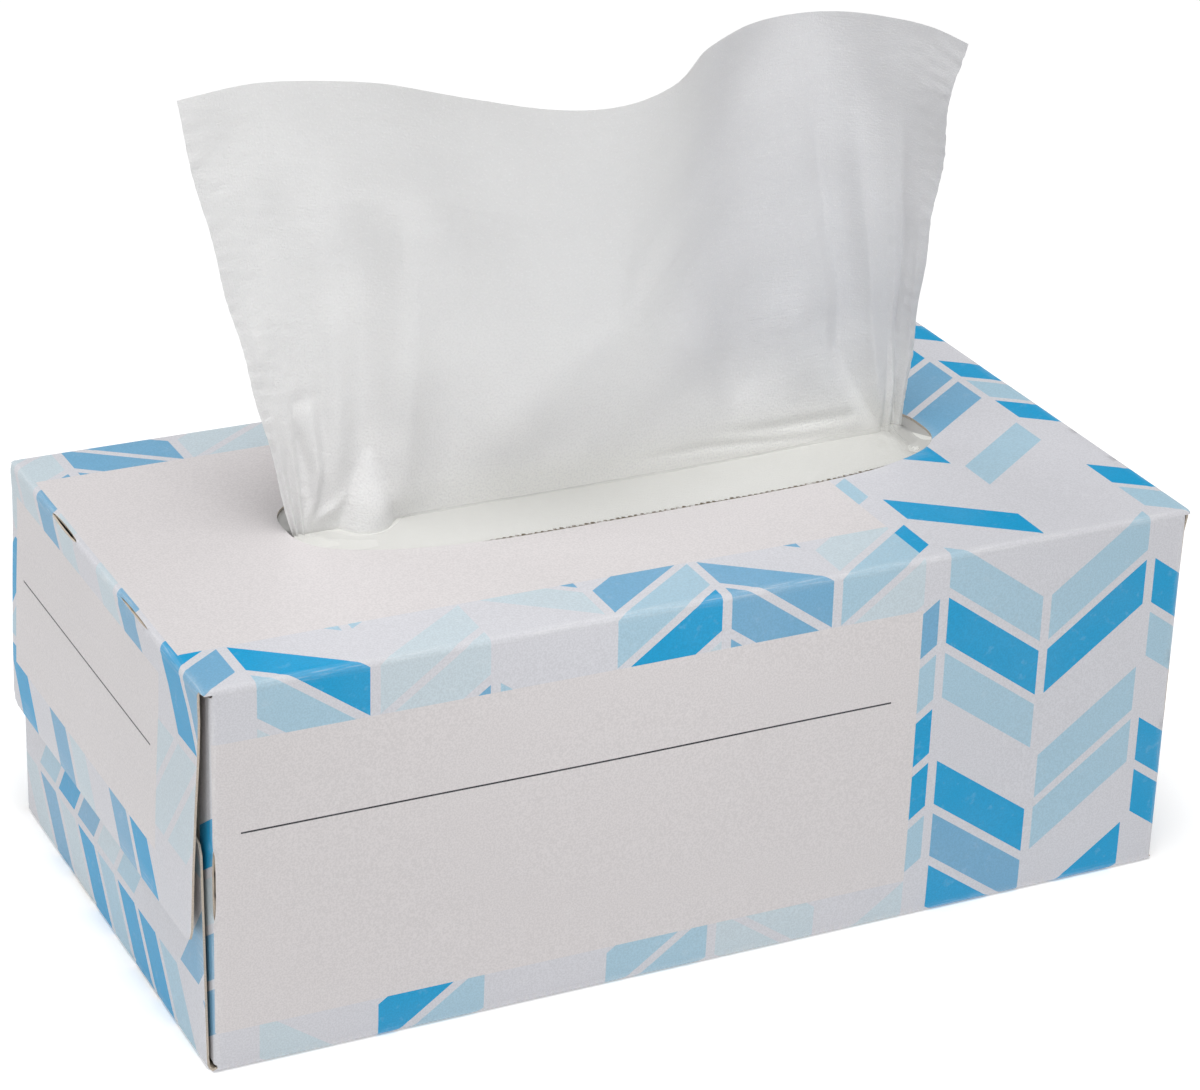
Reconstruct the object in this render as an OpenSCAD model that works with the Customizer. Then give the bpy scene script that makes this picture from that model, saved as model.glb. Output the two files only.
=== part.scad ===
// Tissue box: one folded paperboard carton with an oval opening in its top, a clear film with a slit
// glued under the opening, a stack of interfolded tissues, and the first tissue pulled up through the slit.
// Origin on the table under the middle of the carton, X along the box, Z up, the front panel facing -Y.

/* [Carton] */
// Length between the folds of the two ends
box_l = 225; // [210:1:240]
// Depth from the front panel to the back panel
box_d = 120; // [112:1:135]
// Height from the table to the top panel
box_h = 87; // [60:1:110]
// Thickness of the paperboard
board_t = 0.5; // [0.4:0.05:0.7]
// Outside radius of every fold
fold_r = 1.4; // [1.1:0.1:2]
// Gap between two boards that lie over each other at an end
lay_gap = 0.6; // [0.3:0.1:1]
// Gap between the glue flap and the back panel
glue_gap = 0.1; // [0.05:0.05:0.2]
// Width of the glue flap inside the back panel
glue_flap_w = 16; // [10:1:25]

/* [End flaps] */
// Length of the outer flap that hangs from the top panel
top_flap_l = 63; // [45:1:70]
// Length of the outer flap that stands on the bottom panel
bottom_flap_l = 52; // [40:1:58]
// How far a dust flap reaches in from the front or the back panel
dust_flap_l = 46; // [30:1:54]
// Distance of the outer flaps from the front and back panels at their folds
flap_inset = 2; // [1.5:0.25:4]
// Distance of the dust flaps from the top and bottom panels
dust_inset = 2.5; // [2.2:0.1:4]
// How much an outer flap narrows on each side towards its free edge
flap_taper = 1.5; // [0:0.5:4]
// How much a dust flap narrows at its top and bottom towards its free edge
dust_taper = 8; // [0:0.5:14]

/* [Slits in the folds] */
// Length of a slit cut along a fold
crease_slit_l = 16; // [8:1:20]
// Width of a slit cut along a fold
crease_slit_w = 0.6; // [0.3:0.1:1]
// Distance of the two slits of an outer flap's fold from the middle of that fold
crease_slit_y = 22; // [14:1:32]

/* [Opening] */
// Length of the torn-out oval opening
open_l = 154; // [150:1:164]
// Width of the torn-out oval opening
open_w = 42; // [30:1:50]
// Place of the opening's centre along the box
open_x = 5; // [0:0.5:5]
// Place of the opening's centre across the box
open_y = 2; // [-3:0.5:6]
// How square the oval's ends are: 2 is an ellipse
open_power = 2.3; // [2:0.1:3]
// Distance between two perforation stubs along the edge
stub_pitch = 2.4; // [2:0.1:5]
// Height of a perforation stub
stub_h = 0.5; // [0.2:0.1:0.8]

/* [Film] */
// Thickness of the clear film
film_t = 0.2; // [0.1:0.05:0.3]
// How far the film reaches past the opening under the top panel
film_lap = 10; // [6:1:12]
// Length of the slit in the film
slit_l = 143; // [141:0.5:144]
// Width of the slit where the tissue holds it open
slit_w = 3.6; // [3.4:0.1:5]
// Place of the slit across the box
slit_y = 1; // [-1:0.5:4]

/* [Tissues] */
// Gap between the stack and each end of the carton
stack_end_gap = 7; // [4:0.5:12]
// Gap between the stack and the front and back panels
stack_side_gap = 9; // [5:0.5:12]
// Gap between the top of the stack and the film
headspace = 3.6; // [3:0.1:4]
// Number of folded layers that show on the sides of the stack
stack_layers = 16; // [8:1:24]
// Thickness of one pulled tissue
tissue_t = 0.4; // [0.3:0.05:0.5]
// Clearance round the pulled tissue
tissue_clear = 0.3; // [0.2:0.05:0.4]
// Length of the pulled tissue above the film
pulled_h = 97; // [80:1:105]
// Half the length of the tissue's foot where it leaves the film
foot_half = 70; // [60:0.5:70]
// Depth of the small pleats where the tissue is gathered
pleat_depth = 1.1; // [0.5:0.1:1.1]

/* [Hidden] */
$fn = 48;
TINY = 0.01;

// Outer faces at an end, from the inside out: dust flap, bottom flap, top flap
dust_x = box_l / 2;
bottom_x = dust_x + lay_gap + board_t;
top_x = bottom_x + lay_gap + board_t;
glue_y = box_d / 2 - board_t - glue_gap;

film_top = box_h - board_t;
film_z = film_top - film_t;
stack_l = box_l - 2 * (board_t + stack_end_gap);
stack_d = box_d - 2 * (board_t + stack_side_gap);
stack_top = film_z - headspace;

// Top edge of the pulled tissue seen from above, at equal steps of its width, for a box this long
edge_box_l = 225;
EDGE = [[-91, 14], [-72, 13], [-53, 3], [-37, -12], [-17, -21], [5, -16],
        [22, 0], [39, 14], [57, 19], [70, 4], [77, -13]];
edge_scale = box_l / edge_box_l;
sheet_cols = 52;
up_rows = 10;
pleats = 3;
pleat_from = 0.6;
pleat_rise = 45;

function smooth(t) = let (c = max(0, min(1, t))) c * c * (3 - 2 * c);
function mix(a, b, t) = a + (b - a) * t;
function sgn_pow(x, p) = sign(x) * pow(abs(x), p);

module quarter_ring() {
    difference() {
        intersection() {
            circle(fold_r);
            square(fold_r + 1);
        }
        circle(fold_r - board_t);
    }
}

// Section of the wrapped sheet, from the back panel's free edge round to the glue flap
module sleeve_section() {
    side = box_h - 2 * fold_r;
    translate([box_d / 2 - board_t, fold_r - board_t]) square([board_t, side + board_t]);
    translate([box_d / 2 - fold_r, box_h - fold_r]) quarter_ring();
    translate([fold_r - box_d / 2, film_top]) square([box_d - 2 * fold_r, board_t]);
    translate([fold_r - box_d / 2, box_h - fold_r]) rotate(90) quarter_ring();
    translate([-box_d / 2, fold_r]) square([board_t, side]);
    translate([fold_r - box_d / 2, fold_r]) rotate(180) quarter_ring();
    translate([fold_r - box_d / 2, 0]) square([glue_y + box_d / 2 - 2 * fold_r, board_t]);
    translate([glue_y - fold_r, fold_r]) rotate(-90) quarter_ring();
    translate([glue_y - board_t, fold_r]) square([board_t, glue_flap_w - fold_r]);
}

// A flap that tapers from its fold, lying in the XY plane with the fold along X
module flap_plate(width, length, taper) {
    linear_extrude(board_t)
        polygon([[-width / 2, 0], [width / 2, 0],
                 [width / 2 - taper, length - fold_r], [taper - width / 2, length - fold_r]]);
}

// Outer flap of the right end that stands on the bottom panel, its outer face at x
module outer_flap(x, length) {
    width = box_d - 2 * flap_inset;
    root = box_l / 2 - fold_r;
    translate([root - TINY, -width / 2, 0]) cube([x - fold_r - root + TINY, width, board_t]);
    difference() {
        translate([x - fold_r, width / 2, fold_r]) rotate([90, 0, 0])
            linear_extrude(width) rotate(-90) quarter_ring();
        for (side = [-1, 1])
            translate([x - fold_r, side * crease_slit_y, fold_r]) rotate([0, 45, 0])
                translate([fold_r - board_t / 2, 0, 0])
                    cube([board_t + 0.6, crease_slit_l, crease_slit_w], center = true);
    }
    translate([x - board_t, 0, fold_r]) rotate([90, 0, 90]) flap_plate(width, length, flap_taper);
}

// Dust flap of the right end, folded in from the front panel
module dust_flap() {
    height = box_h - 2 * dust_inset;
    difference() {
        translate([box_l / 2 - fold_r, fold_r - box_d / 2, dust_inset])
            linear_extrude(height) rotate(-90) quarter_ring();
        translate([box_l / 2 - fold_r, fold_r - box_d / 2, box_h / 2]) rotate(-45)
            translate([fold_r - board_t / 2, 0, 0])
                cube([board_t + 0.6, crease_slit_w, crease_slit_l], center = true);
    }
    translate([box_l / 2 - board_t, fold_r - box_d / 2, box_h / 2])
        rotate([0, 90, 0]) flap_plate(height, dust_flap_l, dust_taper);
}

module end_flaps() {
    outer_flap(bottom_x, bottom_flap_l);
    translate([0, 0, box_h]) mirror([0, 0, 1]) outer_flap(top_x, top_flap_l);
    dust_flap();
    mirror([0, 1, 0]) dust_flap();
}

// Oval outline with the stubs that the torn perforation leaves, its points spread evenly along the edge
module opening_outline() {
    half_l = open_l / 2;
    half_w = open_w / 2;
    stubs = round(2.2 * open_l / stub_pitch / 2) * 2;
    polygon([for (i = [0 : 2 * stubs - 1])
        let (t = 180 * i / stubs,
             a = t + 14 * sin(2 * t),
             cut = i % 2 == 0 ? 0 : stub_h)
        [(half_l - cut) * sgn_pow(cos(a), 2 / open_power),
         (half_w - cut) * sgn_pow(sin(a), 2 / open_power)]]);
}

module carton() {
    color([0.83, 0.83, 0.83]) difference() {
        union() {
            translate([fold_r - box_l / 2, 0, 0]) rotate([90, 0, 90])
                linear_extrude(box_l - 2 * fold_r) sleeve_section();
            end_flaps();
            mirror([1, 0, 0]) end_flaps();
        }
        translate([open_x, open_y, film_top - 1]) linear_extrude(board_t + 2) opening_outline();
    }
}

module window_film() {
    color([0.85, 0.88, 0.88, 0.4]) translate([0, 0, film_z]) linear_extrude(film_t) difference() {
        translate([open_x, open_y])
            square([open_l + 2 * film_lap, open_w + 2 * film_lap], center = true);
        translate([0, slit_y]) {
            square([slit_l - slit_w, slit_w], center = true);
            for (end = [-1, 1]) translate([end * (slit_l - slit_w) / 2, 0]) circle(slit_w / 2);
        }
    }
}

// Interfolded tissues as one block whose long sides show the rounded folds
module tissue_stack() {
    height = stack_top - board_t;
    pitch = height / stack_layers;
    color([0.93, 0.93, 0.92]) translate([-stack_l / 2, 0, board_t]) rotate([90, 0, 90])
        linear_extrude(stack_l) {
            translate([(pitch - stack_d) / 2, 0]) square([stack_d - pitch, height]);
            for (i = [0 : stack_layers - 1]) for (side = [-1, 1])
                translate([side * (stack_d - pitch) / 2, (i + 0.5) * pitch]) circle(pitch / 2);
        }
}

// Centre heights of the two layers of the pulled tissue that lie on the stack
lower_z = stack_top + tissue_clear + tissue_t / 2;
upper_z = lower_z + tissue_t + 2 * tissue_clear;
under_z = film_z - tissue_clear - tissue_t / 2;
tuck_y = -stack_d / 2 + 3;
tuck_laid = 0.55;
function tuck_at(share) = mix(slit_y, tuck_y, share);

// The tucked half of the tissue below the slit: place across the box, height, half its length
TUCK = [[slit_y - 0.25, under_z + 0.2, foot_half],
        [slit_y - 1, under_z, foot_half + 0.5],
        [tuck_at(0.15), under_z - 0.1, mix(foot_half, stack_l / 2, 0.25)],
        [tuck_at(0.36), under_z - 0.3, mix(foot_half, stack_l / 2, 0.75)],
        [tuck_at(tuck_laid), upper_z, stack_l / 2],
        [tuck_y, upper_z, stack_l / 2],
        [tuck_y - 1.2, (upper_z + lower_z) / 2, stack_l / 2],
        [tuck_y, lower_z, stack_l / 2],
        [tuck_at(0.08), lower_z, stack_l / 2]];
sheet_rows = up_rows + len(TUCK);

// Catmull-Rom curve through the points of EDGE, u from -1 at the left to 1 at the right
function edge_point(u) =
    let (n = len(EDGE) - 1,
         s = min(n - TINY, max(0, (u + 1) / 2 * n)),
         k = floor(s),
         f = s - k,
         p1 = EDGE[k],
         p2 = EDGE[k + 1],
         p0 = k > 0 ? EDGE[k - 1] : 2 * p1 - p2,
         p3 = k < n - 1 ? EDGE[k + 2] : 2 * p2 - p1)
    edge_scale * 0.5 * (2 * p1 + (p2 - p0) * f + (2 * p0 - 5 * p1 + 4 * p2 - p3) * f * f
        + (3 * p1 - p0 - 3 * p2 + p3) * f * f * f);

// Columns stand closer together at the two gathered ends
function column_u(i) = let (t = 2 * i / sheet_cols - 1) 0.6 * t + 0.4 * sin(90 * t);

// The foot's places are drawn together towards the ends of the slit
function foot_share(u) = 1.25 * u - 0.25 * u * u * u;

// Small pleats at the gathered ends, at a height above the film
function pleat(u, height) =
    let (along = (abs(u) - pleat_from) / (1 - pleat_from))
    along <= 0 ? 0 :
    pleat_depth * smooth(3 * along) * (1 + height / 12) * (1 - smooth(height / pleat_rise))
        * sin(360 * pleats * along);

function upright_point(u, v) =
    let (foot = [foot_half * foot_share(u), slit_y],
         edge = edge_point(u),
         lean = edge - foot,
         rise = sqrt(max(1, pulled_h * pulled_h - lean * lean)),
         plan = [mix(foot.x, edge.x, pow(v, 0.8)), mix(foot.y, edge.y, v)],
         height = rise * v)
    [plan.x, plan.y + pleat(u, height), film_z + height];

function tuck_point(u, k) =
    let (p = TUCK[k],
         fade = k == 0 ? 0.8 : k == 1 ? 0.4 : 0,
         spread = smooth((slit_y - p[0]) / (slit_y - tuck_y) / tuck_laid))
    [p[2] * mix(foot_share(u), u, spread), p[0] + fade * pleat(u, 0), p[1]];

function sheet_point(i, j) =
    let (u = column_u(i))
    j <= up_rows ? upright_point(u, pow(1 - j / up_rows, 1.3)) : tuck_point(u, j - up_rows - 1);

function unit(v) = v / norm(v);
function sheet_normal(grid, i, j) =
    let (along = grid[min(i + 1, sheet_cols)][j] - grid[max(i - 1, 0)][j],
         down = grid[i][min(j + 1, sheet_rows)] - grid[i][max(j - 1, 0)])
    unit(cross(unit(along), unit(down)));

// The pulled tissue: one thin sheet from its wavy top edge down through the slit and tucked over the stack
module top_tissue() {
    grid = [for (i = [0 : sheet_cols]) [for (j = [0 : sheet_rows]) sheet_point(i, j)]];
    cols = sheet_cols + 1;
    rows = sheet_rows + 1;
    points = [for (side = [1, -1]) for (i = [0 : sheet_cols]) for (j = [0 : sheet_rows])
        grid[i][j] + side * tissue_t / 2 * sheet_normal(grid, i, j)];
    function front(i, j) = i * rows + j;
    function back(i, j) = cols * rows + i * rows + j;
    faces = concat(
        [for (i = [0 : sheet_cols - 1]) for (j = [0 : sheet_rows - 1]) each [
            [front(i, j), front(i, j + 1), front(i + 1, j + 1)],
            [front(i, j), front(i + 1, j + 1), front(i + 1, j)],
            [back(i, j), back(i + 1, j + 1), back(i, j + 1)],
            [back(i, j), back(i + 1, j), back(i + 1, j + 1)]]],
        [for (i = [0 : sheet_cols - 1]) each [
            [front(i, 0), front(i + 1, 0), back(i + 1, 0), back(i, 0)],
            [front(i + 1, sheet_rows), front(i, sheet_rows), back(i, sheet_rows),
             back(i + 1, sheet_rows)]]],
        [for (j = [0 : sheet_rows - 1]) each [
            [front(0, j + 1), front(0, j), back(0, j), back(0, j + 1)],
            [front(sheet_cols, j), front(sheet_cols, j + 1), back(sheet_cols, j + 1),
             back(sheet_cols, j)]]]);
    color([0.97, 0.97, 0.97]) polyhedron(points, faces);
}

carton();
window_film();
tissue_stack();
top_tissue();
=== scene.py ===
import math

import bpy
import numpy as np
from mathutils import Matrix, Vector
from mathutils.geometry import delaunay_2d_cdt


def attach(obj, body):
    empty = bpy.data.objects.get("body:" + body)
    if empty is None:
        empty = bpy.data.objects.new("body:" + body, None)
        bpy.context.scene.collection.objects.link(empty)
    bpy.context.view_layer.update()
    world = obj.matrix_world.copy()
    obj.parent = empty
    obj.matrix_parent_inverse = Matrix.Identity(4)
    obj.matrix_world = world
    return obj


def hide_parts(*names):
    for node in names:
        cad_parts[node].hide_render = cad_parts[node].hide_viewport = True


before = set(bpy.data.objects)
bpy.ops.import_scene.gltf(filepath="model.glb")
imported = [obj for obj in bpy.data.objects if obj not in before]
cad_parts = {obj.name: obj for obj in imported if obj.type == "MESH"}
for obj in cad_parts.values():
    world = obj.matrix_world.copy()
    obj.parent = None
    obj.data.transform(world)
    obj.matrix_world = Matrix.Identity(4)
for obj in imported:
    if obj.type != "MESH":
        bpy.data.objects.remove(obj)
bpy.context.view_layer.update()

# Lengths are in millimetres, as in the part's source, and become metres when a mesh is made.
MM = 0.001
BOX_L, BOX_D, BOX_H = 225.0, 120.0, 87.0
BOARD_T, FOLD_R, LAY_GAP = 0.5, 1.4, 0.6
GLUE_FLAP_W, GLUE_Y = 16.0, 59.4
TOP_FLAP_L, BOTTOM_FLAP_L, DUST_FLAP_L = 57.5, 52.0, 46.0
FLAP_INSET, DUST_INSET, FLAP_TAPER, DUST_TAPER = 1.4, 1.7, 1.5, 8.0
SLIT_L, SLIT_AT = 16.0, 22.0
OPEN_X, OPEN_Y, OPEN_L, OPEN_W, OPEN_POWER = 4.8, 3.2, 154.4, 43.0, 2.9
FILM_T, FILM_LAP, FILM_SLIT_Y = 0.2, 10.0, 1.0
STACK_L, STACK_D, STACK_TOP = 210.0, 101.0, 82.7
LAYERS = 40
PULLED_H = 97.0
# Thickness of the film and of the pulled tissue
THIN_T = 0.12

FILM_TOP = BOX_H - BOARD_T
FILM_Z = FILM_TOP - FILM_T
DUST_X = BOX_L / 2
BOTTOM_X = DUST_X + LAY_GAP + BOARD_T
TOP_X = BOTTOM_X + LAY_GAP + BOARD_T

rng = np.random.default_rng(11)


# ------------ node trees

def math_operator(operation):
    """A method for Value that adds a Math node."""
    return lambda value, *others: value.maths(operation, *others)


class Value:
    """A node's output; arithmetic on it adds Math nodes to its tree."""

    __add__ = __radd__ = math_operator("ADD")
    __sub__ = math_operator("SUBTRACT")
    __mul__ = __rmul__ = math_operator("MULTIPLY")
    __truediv__ = math_operator("DIVIDE")
    __mod__ = math_operator("FLOORED_MODULO")
    __pow__ = math_operator("POWER")
    __lt__ = math_operator("LESS_THAN")
    __gt__ = math_operator("GREATER_THAN")
    __abs__ = math_operator("ABSOLUTE")

    def __init__(self, graph, socket):
        self.graph = graph
        self.socket = socket

    def maths(self, operation, *others):
        return self.graph.maths(operation, self, *others)

    def __rsub__(self, other):
        return self.graph.maths("SUBTRACT", other, self)


class Graph:
    """A node tree, with one method for any node."""

    def __init__(self, tree):
        self.tree = tree
        tree.nodes.clear()

    def node(self, kind, settings=None, sockets=None):
        node = self.tree.nodes.new(kind)
        for name, value in (settings or {}).items():
            setattr(node, name, value)
        for key, value in (sockets or {}).items():
            named = [s for s in node.inputs if s.identifier == key]
            socket = named[0] if named else node.inputs[key]
            if isinstance(value, Value):
                self.tree.links.new(value.socket, socket)
            elif isinstance(value, bpy.types.NodeSocket):
                self.tree.links.new(value, socket)
            else:
                socket.default_value = value
        return node

    def value(self, kind, settings=None, sockets=None, output=0):
        return Value(self, self.node(kind, settings, sockets).outputs[output])

    def in_mm(self, vector):
        """The first two parts of a vector, in millimetres."""
        parts = self.node("ShaderNodeSeparateXYZ", {}, {"Vector": vector}).outputs
        return [Value(self, parts[k]) * 1000.0 for k in (0, 1)]

    def maths(self, operation, *values):
        return self.value("ShaderNodeMath", {"operation": operation}, dict(enumerate(values)))

    def mix(self, factor, first, second):
        mixed = self.node("ShaderNodeMix", {"data_type": "RGBA"},
                          {"Factor_Float": factor, "A_Color": first, "B_Color": second})
        return next(s for s in mixed.outputs if s.identifier == "Result_Color")

    def smooth(self, value, low, high):
        return self.value("ShaderNodeMapRange", {"interpolation_type": "SMOOTHSTEP"},
                          {"Value": value, "From Min": low, "From Max": high})

    def noise(self, vector, scale, detail=2.0, roughness=0.5):
        return self.value("ShaderNodeTexNoise", {},
                          {"Vector": vector, "Scale": scale, "Detail": detail,
                           "Roughness": roughness})

    def combined(self, **parts):
        return self.value("ShaderNodeCombineXYZ", {}, parts)

    def stretched(self, vector, scale):
        return self.value("ShaderNodeMapping", {}, {"Vector": vector, "Scale": scale})

    def bump(self, height, distance, strength=1.0, normal=None):
        sockets = {"Height": height, "Distance": distance, "Strength": strength}
        if normal is not None:
            sockets["Normal"] = normal
        return self.value("ShaderNodeBump", {}, sockets)

    def shader(self, sockets):
        return self.node("ShaderNodeBsdfPrincipled", {}, sockets).outputs[0]


def new_material(name):
    material = bpy.data.materials.new(name)
    material.use_nodes = True
    return material, Graph(material.node_tree)


def finish_material(graph, surface):
    graph.node("ShaderNodeOutputMaterial", {}, {"Surface": surface})


def rgb(*channels):
    return (*channels, 1.0)


def between(value, low, high):
    return (value > low) * (value < high)


# ------------ materials

LABEL_WHITE = rgb(0.655, 0.626, 0.630)
GROUND_WHITE = rgb(0.614, 0.616, 0.654)
TINT = rgb(0.530, 0.618, 0.668)
PALE_BLUE = rgb(0.37, 0.545, 0.655)
MID_BLUE = rgb(0.165, 0.385, 0.58)
DEEP_BLUE = rgb(0.0, 0.315, 0.60)
RULE_BLACK = rgb(0.03, 0.03, 0.035)
RAW_BOARD = rgb(0.40, 0.34, 0.27)
CUT_EDGE = rgb(0.50, 0.44, 0.37)
COLUMN_W, BAR_H, BAR_GAP, BAR_LEAN = 26.0, 13.0, 0.18, 0.72
# Bare label fields and thin rules on the flat sheet: their reach along s and along x
FRONT_LABEL, BACK_LABEL = ((-137.1, -71.4), (-112.4, 47.0)), ((71.4, 137.1), (-47.0, 112.4))
TOP_LABEL, END_LABEL = ((-43.0, 46.0), (-112.9, 47.0)), ((-36.0, 55.0), (121.0, 161.0))
FRONT_RULE, BACK_RULE = ((-92.1, -91.7), (-106.5, 40.5)), ((91.7, 92.1), (-40.5, 106.5))
END_RULE = ((-32.0, 50.0), (138.8, 139.2))
BARE_BOTTOM = ((-262.0, -149.0), (-111.0, 111.0))


def chevron_print(graph, x, s):
    """Parallelograms in columns that lean left and right in turn, on the flat sheet."""
    column = (x / COLUMN_W).maths("FLOOR")
    inside = x - column * COLUMN_W - COLUMN_W / 2
    lean = 1.0 - 2.0 * (column % 2.0)
    along = (s + lean * inside * BAR_LEAN) / BAR_H
    bar = along.maths("FLOOR")
    gap = (along - bar < BAR_GAP) + (abs(inside) > COLUMN_W / 2 - 1.1)
    cell = graph.combined(X=column, Y=bar)
    chance = graph.value("ShaderNodeTexWhiteNoise", {"noise_dimensions": "2D"}, {"Vector": cell})

    def dealt(stops):
        ramp = graph.node("ShaderNodeValToRGB", {}, {"Fac": chance})
        ramp.color_ramp.interpolation = "CONSTANT"
        elements = ramp.color_ramp.elements
        while len(elements) < len(stops):
            elements.new(0.5)
        for element, (place, colour) in zip(elements, stops):
            element.position = place
            element.color = colour
        return ramp.outputs[0]

    open_zone = dealt([(0.0, GROUND_WHITE), (0.38, PALE_BLUE), (0.56, MID_BLUE),
                       (0.76, DEEP_BLUE)])
    tinted_zone = dealt([(0.0, TINT), (0.36, GROUND_WHITE), (0.60, MID_BLUE),
                         (0.76, PALE_BLUE), (0.86, DEEP_BLUE)])
    dealt_colour = graph.mix(x > 47.0, tinted_zone, open_zone)
    return graph.mix(gap.maths("MINIMUM", 1.0), dealt_colour, GROUND_WHITE)


def printed_board():
    """Outside of the carton: blue print with bare label fields and thin rules, softly varnished."""
    material, graph = new_material("printed_board")
    flat = graph.node("ShaderNodeUVMap", {"uv_map": "flat_sheet"}).outputs[0]
    x, s = graph.in_mm(flat)
    colour = chevron_print(graph, x, s)

    def within(reach, across=x):
        return between(s, *reach[0]) * between(across, *reach[1])

    label = within(FRONT_LABEL) + within(BACK_LABEL) + within(TOP_LABEL) + within(END_LABEL, abs(x))
    colour = graph.mix(label.maths("MINIMUM", 1.0), colour, LABEL_WHITE)
    rule = within(FRONT_RULE) + within(BACK_RULE) + within(END_RULE, abs(x))
    colour = graph.mix(rule.maths("MINIMUM", 1.0), colour, RULE_BLACK)
    colour = graph.mix(within(BARE_BOTTOM), colour, GROUND_WHITE)
    bleed_end = (abs(x) > 119.0) * (abs(s) > 60.0) * (s > -146.1)
    bare = (bleed_end + (s < -269.0)).maths("MINIMUM", 1.0)
    colour = graph.mix(bare, colour, rgb(0.70, 0.69, 0.66))

    edge = ((abs(x - OPEN_X) / (OPEN_L / 2)) ** OPEN_POWER
            + (abs(s - OPEN_Y) / (OPEN_W / 2)) ** OPEN_POWER)
    # Painted shade: a dark brown band along the opening's front edge, partly the torn board's brown
    # fibres and partly the shadow in the gap under the edge.
    torn = ((edge < 1.035) * (s < OPEN_Y)
            * graph.smooth(x, -37.0, -31.0) * graph.smooth(x, 66.0, 58.0))
    place = graph.node("ShaderNodeTexCoord").outputs["Object"]
    mottle = graph.noise(place, 38.0, 3.0)
    ink = graph.noise(place, 420.0)
    colour = graph.mix(graph.smooth(mottle, 0.35, 0.75) * 0.05, colour, rgb(0.60, 0.60, 0.62))
    colour = graph.mix(graph.smooth(ink, 0.60, 0.75) * 0.05, colour, rgb(0.9, 0.9, 0.9))
    grain = graph.noise(place, 2600.0)
    speckled = 1.055 - 0.11 * graph.smooth(grain, 0.65, 0.35)
    colour = graph.node("ShaderNodeHueSaturation", {},
                        {"Value": speckled, "Color": colour}).outputs[0]

    worn = graph.value("ShaderNodeAttribute", {"attribute_name": "fold"}, output="Fac")
    at_end = abs(x) > 111.0
    along_wrap = graph.noise(graph.stretched(flat, (1.0, 0.06, 1.0)), 2600.0)
    along_box = graph.noise(graph.stretched(flat, (0.06, 1.0, 1.0)), 2600.0)
    streak = graph.smooth(along_box + at_end * (along_wrap - along_box), 0.45, 0.70)
    patchy = graph.smooth(graph.noise(place, 60.0), 0.35, 0.70)
    worn_mask = worn * (0.14 + 0.30 * streak) * (0.4 + 0.6 * patchy)
    colour = graph.mix(worn_mask, colour, rgb(0.80, 0.80, 0.80))
    # Noise breaks up the painted shade along the torn edge.
    torn_shade_breakup = graph.smooth(graph.noise(flat, 900.0), 0.35, 0.50)
    colour = graph.mix(torn * (0.35 + 0.65 * torn_shade_breakup), colour, rgb(0.13, 0.105, 0.07))

    peel = graph.noise(place, 260.0)
    waves = graph.noise(place, 45.0)
    bumped = graph.bump(waves, 0.0009, 0.35)
    bumped = graph.bump(peel, 0.0001, 0.35, bumped)
    finish_material(graph, graph.shader({
        "Base Color": colour, "Roughness": 0.36 + 0.14 * mottle, "Specular IOR Level": 0.22,
        "Coat Weight": 0.10, "Coat Roughness": 0.20, "Normal": bumped}))
    return material


def raw_board(name, base, grain_scale):
    """Uncoated grey-brown board, for the inside and for the cut edges."""
    material, graph = new_material(name)
    place = graph.node("ShaderNodeTexCoord").outputs["Object"]
    fibres = graph.noise(graph.stretched(place, (1.0, 3.5, 3.5)), grain_scale, 4.0, 0.65)
    flecks = graph.smooth(graph.noise(place, 2400.0), 0.62, 0.74)
    dark = rgb(*(0.72 * c for c in base[:3]))
    light = rgb(*(1.25 * c for c in base[:3]))
    colour = graph.mix(graph.smooth(fibres, 0.35, 0.68), base, light)
    colour = graph.mix(flecks * 0.6, colour, dark)
    finish_material(graph, graph.shader({
        "Base Color": colour, "Roughness": 0.85 + 0.1 * fibres, "Specular IOR Level": 0.25,
        "Normal": graph.bump(fibres, 0.0002, 0.6)}))
    return material


def clear_film():
    """Thin glossy film, a little milky, with fine waves from the heat of its making."""
    material, graph = new_material("clear_film_gloss")
    place = graph.node("ShaderNodeTexCoord").outputs["Object"]
    haze = graph.noise(place, 55.0, 3.0)
    ripples = graph.noise(graph.stretched(place, (1.0, 0.45, 1.0)), 240.0)
    x, y = graph.in_mm(place)
    # Both ends of the slit get a more opaque, milky and rougher film: partly the crumpled film
    # there and partly a painted glare that hides the dark inside.
    creased_and_glare = (graph.smooth(x, 69.0, 79.0)
               + 1.3 * graph.smooth(x, -58.0, -66.0) * graph.smooth(y, 2.5, 5.0))
    finish_material(graph, graph.shader({
        "Base Color": rgb(0.84, 0.84, 0.82), "Roughness": 0.20 + 0.10 * haze + 0.15 * creased_and_glare,
        "Metallic": 0.35, "Specular IOR Level": 0.6, "Alpha": 0.07 + 0.06 * haze + 0.38 * creased_and_glare,
        "Normal": graph.bump(ripples, 0.0003, 0.5)}))
    return material


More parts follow.
